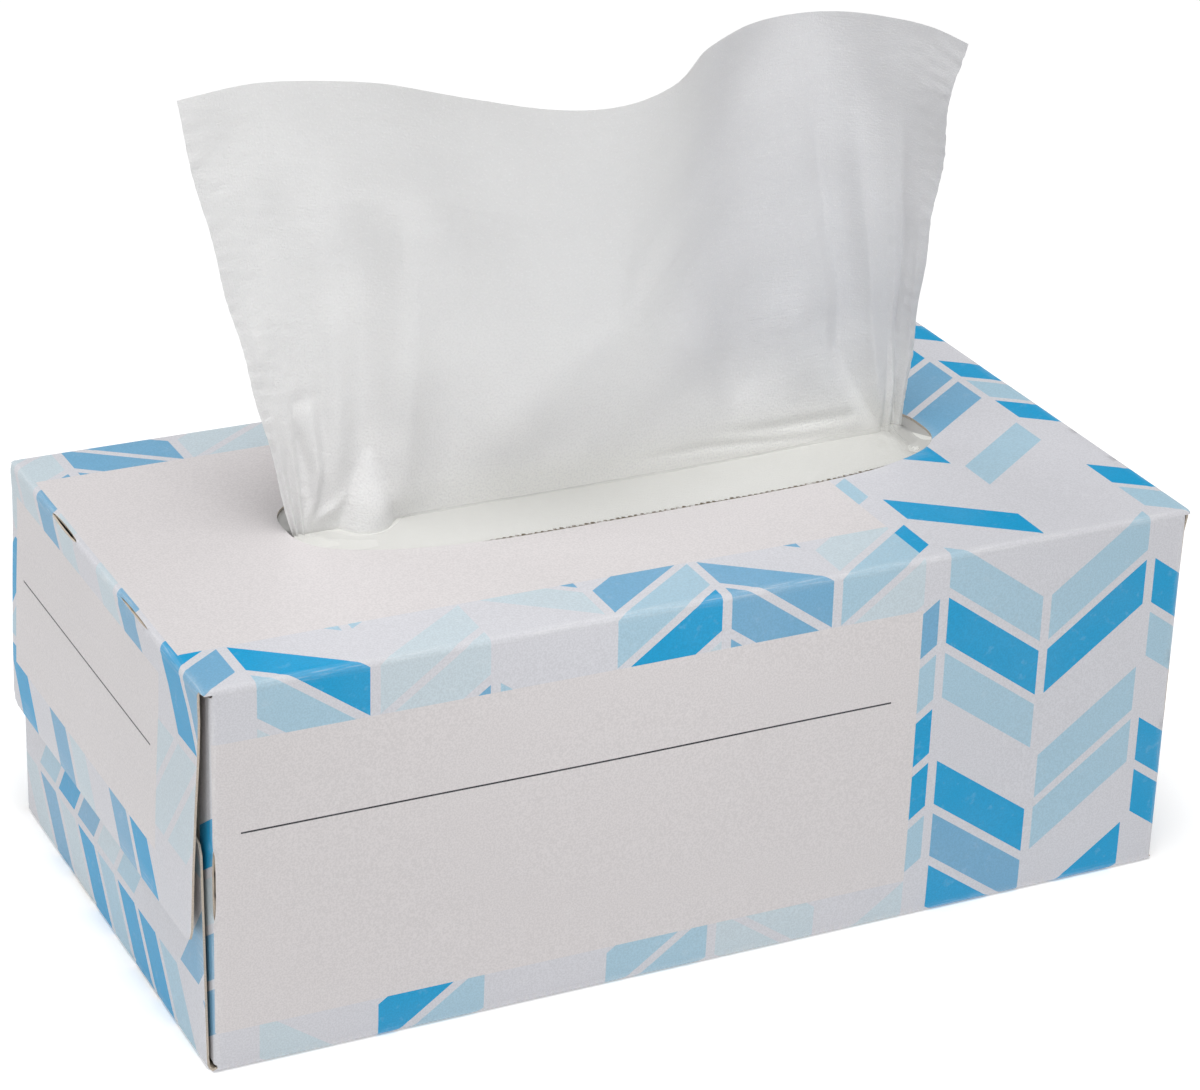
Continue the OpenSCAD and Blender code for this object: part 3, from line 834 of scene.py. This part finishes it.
# Fold lines of the pulled tissue on the flat sheet: places along and up from the slit, how far each
# stands out there, how far its slopes reach to its left and right, and how rounded its crest is
FOLDS = [
    ([(-92, 0), (-83.5, 2.7), (-77.5, 8.3), (-76, 13.6), (-77.5, 19.4), (-79, 25), (-79.5, 31)],
     [0.2, 0.6, 1.2, 1.5, 1.4, 1.1, 0.1], 6, 3.5, 0.3),
    ([(-76, 18), (-75.4, 37), (-75.2, 52), (-74, 68)], [0.2, 1.1, 0.9, 0.1], 9, 5),
    ([(-93, 0), (-85.3, 3.4), (-80.8, 8.3), (-80.3, 13.9), (-83.6, 19.7), (-87.1, 24.8),
      (-87.5, 28.5)],
     [-0.3, -0.6, -0.9, -1.0, -0.8, -0.6, -0.1], 5, 3, 0.3),
    ([(-82, 0), (-74.7, 8.5), (-72.7, 15.3), (-72.7, 20.9), (-74, 27.5), (-74.5, 38.7), (-75, 50)],
     [-0.3, -0.7, -0.9, -0.9, -0.9, -0.7, -0.1], 3.5, 4, 0.3),
    ([(-80, 0), (-73.5, 8), (-71, 16.3), (-70.2, 21.6), (-69.4, 29.9), (-69.7, 38.4),
      (-70.2, 48), (-71, 60)],
     [0.2, 0.5, 0.8, 1.0, 1.2, 1.2, 0.8, 0.1], 5, 7, 0.3),
    ([(-61.5, 14), (-61.5, 20.9), (-63, 32.6), (-63.5, 43.8), (-64, 52), (-65, 63), (-66, 72)],
     [-1.0, -1.6, -2.1, -2.2, -2.0, -1.4, -0.1], 7, 9, 0.3),
    ([(-53, 0), (-52.6, 6.1), (-52, 17.3), (-51.7, 26.3), (-51.4, 35), (-51.2, 43.8),
      (-51.4, 55.2), (-52, 66), (-52, 73)],
     [0.4, 1.6, 2.8, 3.4, 3.7, 3.7, 3.1, 1.6, 0.1], 10, 9, 0.3),
    ([(-48.5, 3), (-47.3, 10.9), (-46.5, 19.9), (-46.2, 32), (-46.5, 49.6), (-45.5, 61.3),
      (-44.5, 68.5), (-44, 73)],
     [-0.4, -1.2, -1.9, -2.3, -2.5, -2.6, -2.2, -0.1], 8, 22, 0.3),
    ([(-70, 68.5), (-62, 71), (-52, 71.3), (-47, 73)], [0.1, 0.4, 0.4, 0.1], 5, 14, 0.3),
    ([(-97, 54), (-99.5, 42), (-102, 30)], [0.1, 0.9, 0.2], 5, 4),
    ([(-91, 27.8), (-84.3, 29.6), (-77, 30.6)], [-0.1, -0.6, -0.3], 3, 3),
    ([(-84, 0.5), (-70.7, 4.9), (-64.2, 9.7)], [0.3, 0.8, 0.1], 2, 3),
    ([(48.4, 93), (48.6, 80), (49.2, 69.3), (50.1, 49.6), (51.7, 36.2), (53, 28)],
     [0.1, 1.2, 1.7, 1.7, 1.0, 0.1], 16, 12, 0.4),
    ([(59, 88), (61.5, 70), (64.5, 47.9), (66.8, 39.1), (67.5, 31.6), (66.8, 22.4),
      (69.1, 17.7), (73.2, 12.4), (77.4, 7.3), (84.1, 2.4), (90, 0)],
     [-0.1, -1.1, -1.8, -2.1, -2.2, -2.3, -2.3, -2.0, -1.5, -0.9, -0.3], 10, 5),
    ([(72, 84), (75, 56), (77.5, 37.7), (78.5, 25), (81.5, 12.4), (87.5, 3.6)],
     [0.1, 1.2, 1.8, 2.0, 1.9, 0.8], 7, 6),
    ([(87, 76), (88.2, 57.6), (90.4, 45), (91.8, 35.5), (92, 25.5), (94.6, 15.8), (98, 5.8)],
     [-0.1, -1.0, -1.5, -1.6, -1.6, -1.3, -0.5], 5, 2.5),
    ([(98, 62), (100.1, 46.4), (101.5, 33.5), (102, 20),
      (102, 8)], [0.1, 0.9, 1.1, 1.1, 0.4], 5, 4),
    ([(46, 36), (51.4, 30.1), (56.1, 20.2), (66, 8)], [0.1, 1.3, 1.5, 0.2], 12, 8),
    ([(9, 4.5), (26.6, 4.6), (40.1, 3.4), (61.5, 1.5)], [-0.1, -0.5, -0.6, -0.3], 1.6, 1.6),
    ([(31, 7.5), (40.1, 6.3), (55.3, 5.8), (71.4, 5.6)], [-0.1, -0.6, -0.7, -0.4], 2.2, 2.2),
    ([(22, 45), (29, 30.9), (32.5, 23.8), (35.7, 17.7),
      (37, 13)], [-0.1, -0.9, -1.3, -0.9, -0.1], 10, 5),
]
# Three fold lines that meet where the sheet stands out furthest, taken as one low pyramid
PYRAMID = [
    ([(-4.9, 40.8), (-14.6, 34.5), (-22.1, 28.4), (-31.6, 19.4), (-41, 10)],
     [2.9, 2.6, 2.1, 1.4, 0.3], 22, 26),
    ([(-4.9, 40.8), (-5.2, 50), (-5.8, 63), (-6.7, 75),
      (-7.3, 92)], [2.9, 2.6, 1.9, 0.9, 0.1], 26, 12),
    ([(-4.9, 40.8), (8.5, 34.3), (23.6, 28.2), (38, 17)], [2.9, 1.9, 1.1, 0.1], 12, 22),
]
CONE_AT, CONE_HALF, CONE_TALL, CONE_OUT = -60.5, 7.4, 17.5, 5.0


def slit_place(w):
    """Where along the slit the sheet's column at w goes through it."""
    return np.interp(w, FOOT[:, 0], FOOT[:, 1])


def edge_plan(u):
    """Catmull-Rom curve through the points of EDGE, u from -1 at the left to 1 at the right."""
    n = len(EDGE) - 1
    s = np.clip((u + 1) / 2 * n, 0, n - 1e-6)
    k = np.floor(s).astype(int)
    f = (s - k)[:, None]
    row = np.concatenate([[2 * EDGE[0] - EDGE[1]], EDGE, [2 * EDGE[-1] - EDGE[-2]]])
    p0, p1, p2, p3 = row[k], row[k + 1], row[k + 2], row[k + 3]
    return 0.5 * (2 * p1 + (p2 - p0) * f + (2 * p0 - 5 * p1 + 4 * p2 - p3) * f ** 2
                  + (3 * p1 - p0 - 3 * p2 + p3) * f ** 3)


def fold_line(w, h, line, heights, left, right, round_off=0.16):
    """How far one fold line makes the sheet stand out: a crest with a slope on either side."""
    line = np.array(line, float)
    best = np.full(w.shape, 1e9)
    side = np.zeros_like(w)
    high = np.zeros_like(w)
    for a, b, high_a, high_b in zip(line[:-1], line[1:], heights[:-1], heights[1:]):
        d = b - a
        t = np.clip(((w - a[0]) * d[0] + (h - a[1]) * d[1]) / (d @ d), 0, 1)
        off_w, off_h = w - a[0] - t * d[0], h - a[1] - t * d[1]
        away = np.hypot(off_w, off_h)
        nearer = away < best
        best = np.where(nearer, away, best)
        side = np.where(nearer, d[0] * off_h - d[1] * off_w, side)
        high = np.where(nearer, high_a + t * (high_b - high_a), high)
    reach = np.where(side > 0, left, right)
    t = np.sqrt((best / reach) ** 2 + round_off ** 2) - round_off
    return high * np.clip(1 - t, 0, 1) ** 1.5


def cone(w, h):
    """The small tent of paper beside the left gather, widest where it goes through the slit."""
    share = np.clip(1 - h / CONE_TALL, 0, 1)
    across = np.clip(np.abs(w - CONE_AT) / (CONE_HALF * np.maximum(share, 0.02) ** 0.8), 0, 1)
    return CONE_OUT * share ** 0.8 * (1 - across ** 2.2)


def zigzag(w, h):
    """Tight pleats at the two ends of the slit, which open out upwards."""
    y = np.zeros_like(w)
    for low, high, phase in ((-SHEET_HALF, -84, 0.2), (84, SHEET_HALF, 0.9)):
        t = np.clip((w - low) / (high - low), 0, 1)
        y += 0.6 * np.sin(2 * np.pi * (2.0 * t + phase)) * smooth01(4 * t) * smooth01(4 * (1 - t))
    return y * np.exp(-(h / 16) ** 1.3) * (1 + h / 14)


def soft_waves(w, h, seed, size, stretch=(1.0, 1.0)):
    """Even random waves of about that length, with a spread of about one."""
    dice = np.random.default_rng(seed)
    total = np.zeros_like(w)
    for _ in range(24):
        turn = dice.uniform(0, 2 * math.pi)
        often = 2 * math.pi / (size * dice.uniform(0.6, 1.6))
        total += np.sin(often * (w * math.cos(turn) * stretch[0] + h * math.sin(turn) * stretch[1])
                        + dice.uniform(0, 2 * math.pi))
    return total / math.sqrt(24)


def stand_out(w, h):
    """How far the pulled sheet stands out towards the front, by its fold lines and crinkles."""
    total = sum(fold_line(w, h, *fold) for fold in FOLDS)
    total += np.max([fold_line(w, h, *fold, round_off=0.06) for fold in PYRAMID], 0)
    total *= smooth01((h + 1.5) / 7)
    total += 0.30 * soft_waves(w, h, 3, 26) * smooth01(h / 12)
    near_side = np.exp(-(SHEET_HALF - np.abs(w)) / 12)
    total += ((0.02 + 0.16 * near_side) * soft_waves(w, h, 5, 5.0, (0.6, 1.7))
              * smooth01(h / 8) * smooth01((98 - h) / 6))
    return total + cone(w, h) - zigzag(w, h)


def upright_rows(w, count):
    """The half above the slit, from the top edge down: its places and its flat places."""
    v = np.linspace(1, 0, count) ** 1.15
    foot_x = slit_place(w)
    foot = np.stack([foot_x, slit_line(foot_x)], 1)
    lean = edge_plan(w / SHEET_HALF) - foot
    rise = np.sqrt(np.maximum(1, PULLED_H ** 2 - (lean ** 2).sum(1)))
    along, up = np.meshgrid(w, v)
    grid = np.stack([foot[:, 0] + lean[:, 0] * up ** 0.9, foot[:, 1] + lean[:, 1] * up ** 1.35,
                     FILM_Z + rise * up], 2)
    side = np.exp(-(SHEET_HALF - np.abs(along)) / 9)
    notch = (along > 0) * np.exp(-((up - 0.86) / 0.09) ** 2)
    wander = 0.5 * soft_waves(0 * along, up * PULLED_H, 21, 34) - notch
    grid[..., 0] += side * wander * smooth01(8 * up)
    normal = np.cross(np.gradient(grid, axis=1), np.gradient(grid, axis=0))
    normal /= np.linalg.norm(normal, axis=2, keepdims=True)
    normal = np.where(normal[..., 1:2] > 0, -normal, normal)
    out = stand_out(along, up * PULLED_H)
    return grid + normal * out[..., None], np.stack([along, up * PULLED_H], 2)


def tucked_rows(w):
    """The half below the slit: forward under the film, onto the stack and back under itself."""
    lower_z = STACK_TOP + 0.4
    upper_z = lower_z + 0.75
    under_z = FILM_Z - 0.45
    tuck_y = -STACK_D / 2 + 3
    def at(share):
        return FILM_SLIT_Y + (tuck_y - FILM_SLIT_Y) * share
    path = np.array([[FILM_SLIT_Y - 0.25, under_z + 0.7], [FILM_SLIT_Y - 1, under_z + 0.9],
                     [at(0.12), under_z + 0.75], [at(0.25), under_z + 0.35],
                     [at(0.38), under_z - 0.1], [at(0.55), upper_z],
                     [tuck_y, upper_z], [tuck_y - 1.0, (upper_z + lower_z) / 2], [tuck_y, lower_z],
                     [at(0.08), lower_z]])
    reach = np.concatenate(([0], np.cumsum(np.hypot(*np.diff(path, axis=0).T))))
    foot = slit_place(w)
    rows, flats = [], []
    for run in np.unique(np.concatenate([np.linspace(0, reach[-1], 34), reach])):
        y, z = (np.interp(run, reach, path[:, k]) for k in (0, 1))
        spread = smooth01((FILM_SLIT_Y - y) / (FILM_SLIT_Y - tuck_y) / 0.55)
        out = zigzag(w, 0 * w) * max(0.0, 1 - run / 2.0) - cone(w, 0 * w) * max(0.0, 1 - run / 12.0)
        bend = (slit_line(foot) - FILM_SLIT_Y) * (1 - spread)
        x = foot * (1 - spread) + w * spread
        lift = puckers(x, y + bend) * smooth01((run - 1.5) / 2) * (z > under_z - 0.2)
        rows.append(np.stack([x, y + bend + out, z + lift], 1))
        flats.append(np.stack([w, np.full_like(w, -run)], 1))
    return rows, flats


def build_pulled_tissue(material):
    t = np.linspace(-1, 1, 261)
    w = SHEET_HALF * (0.72 * t + 0.28 * np.sin(math.pi / 2 * t))
    grid, flat_grid = upright_rows(w, 118)
    rows, flats = tucked_rows(w)
    points = np.concatenate([*grid, *rows])
    flat = np.concatenate([*flat_grid, *flats])
    columns, count = len(w), len(grid) + len(rows)
    starts = [j * columns + i for j in range(count - 1) for i in range(columns - 1)]
    faces = [(k, k + columns, k + columns + 1, k + 1) for k in starts]
    tissue = make_object("pulled_tissue", points, faces, [material], flat)
    give_thickness(tissue, THIN_T, 0.0)
    sharpen(tissue, 70)
    return tissue


# ------------ camera, light and floor

def add_camera():
    right, up, forward = (Vector(v) for v in ((0.9003, -0.4341, 0.0313), (0.1587, 0.3943, 0.9052),
                                              (0.4053, 0.8100, -0.4239)))
    lens = bpy.data.cameras.new("photo_camera")
    lens.sensor_width = 36.0
    lens.lens = 112.84
    camera = bpy.data.objects.new("photo_camera", lens)
    turned = Matrix((right, up, -forward)).transposed().to_4x4()
    camera.matrix_world = Matrix.Translation((-0.3338, -0.6677, 0.4217)) @ turned
    bpy.context.scene.collection.objects.link(camera)
    bpy.context.scene.camera = camera


def hang_light(light, place, aim):
    turned = aim.to_track_quat("-Z", "Y").to_matrix().to_4x4()
    thing = bpy.data.objects.new(light.name, light)
    thing.matrix_world = Matrix.Translation(place) @ turned
    bpy.context.scene.collection.objects.link(thing)


def add_softbox(name, place, size, power, colour):
    light = bpy.data.lights.new(name, "AREA")
    light.shape = "RECTANGLE"
    light.size, light.size_y = size
    light.energy = power
    light.color = colour
    hang_light(light, place, Vector((0, 0, 0.07)) - Vector(place))


def add_snoot(name, place, target, radius, power):
    """A narrow soft-edged light, as from a snoot."""
    aim = Vector(target) - Vector(place)
    light = bpy.data.lights.new(name, "SPOT")
    light.energy = power
    light.shadow_soft_size = 0.06
    light.spot_size = 2 * math.atan(radius / aim.length)
    light.spot_blend = 1.0
    hang_light(light, place, aim)


def add_floor():
    material, graph = new_material("pale_floor")
    finish_material(graph, graph.shader({
        "Base Color": rgb(0.93, 0.93, 0.93), "Roughness": 0.9, "Specular IOR Level": 0.1,
        "Emission Color": rgb(1, 1, 1), "Emission Strength": 0.22}))
    side = 6000.0
    floor = make_object("floor", [(-side, -side, -0.05), (side, -side, -0.05), (side, side, -0.05),
                                  (-side, side, -0.05)], [(0, 1, 2, 3)], [material], smooth=False)


def add_stage():
    world = bpy.data.worlds.new("white_room")
    bpy.context.scene.world = world
    world.use_nodes = True
    graph = Graph(world.node_tree)
    sky = graph.node("ShaderNodeBackground", {}, {"Color": rgb(1, 1, 1), "Strength": 0.26})
    graph.node("ShaderNodeOutputWorld", {}, {"Surface": sky.outputs[0]})
    add_softbox("top_softbox", (-0.2, -0.4, 2.4), (1.2, 1.2), 35.0, (1.0, 0.995, 0.99))
    add_softbox("key_softbox", (-0.45, -1.3, 1.85), (1.1, 1.1), 8.5, (1.0, 0.995, 0.985))
    add_softbox("left_softbox", (-1.6, -1.2, 1.5), (1.1, 1.1), 2.0, (1.0, 0.995, 0.98))
    add_softbox("back_softbox", (-0.8, 1.4, 1.5), (1.2, 0.9), 8.0, (0.98, 0.98, 1.0))
    add_snoot("tissue_snoot", (-0.45, -1.55, 0.62), (-0.005, 0.0, 0.118), 0.085, 25.0)
    add_floor()
    bpy.context.scene.view_settings.view_transform = "Standard"


# ------------ the object

add_camera()
add_stage()

carton = build_carton(printed_board(), raw_board("raw_board_inside", RAW_BOARD, 500.0),
                      raw_board("board_cut_edge", CUT_EDGE, 1800.0))
film = build_film(clear_film())
stack = build_stack(tissue_paper("stacked_tissue_paper", 0.08, 0.08, 0.0))
tissue = build_pulled_tissue(tissue_paper("pulled_tissue_paper", 0.50, 0.10, 1.0))

for piece, node, slot in ((carton, "carton", "paperboard"), (film, "window_film", "clear_film"),
                          (stack, "tissue_stack", "tissue_paper"),
                          (tissue, "top_tissue", "tissue_paper")):
    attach(piece, "root")
    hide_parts(node)
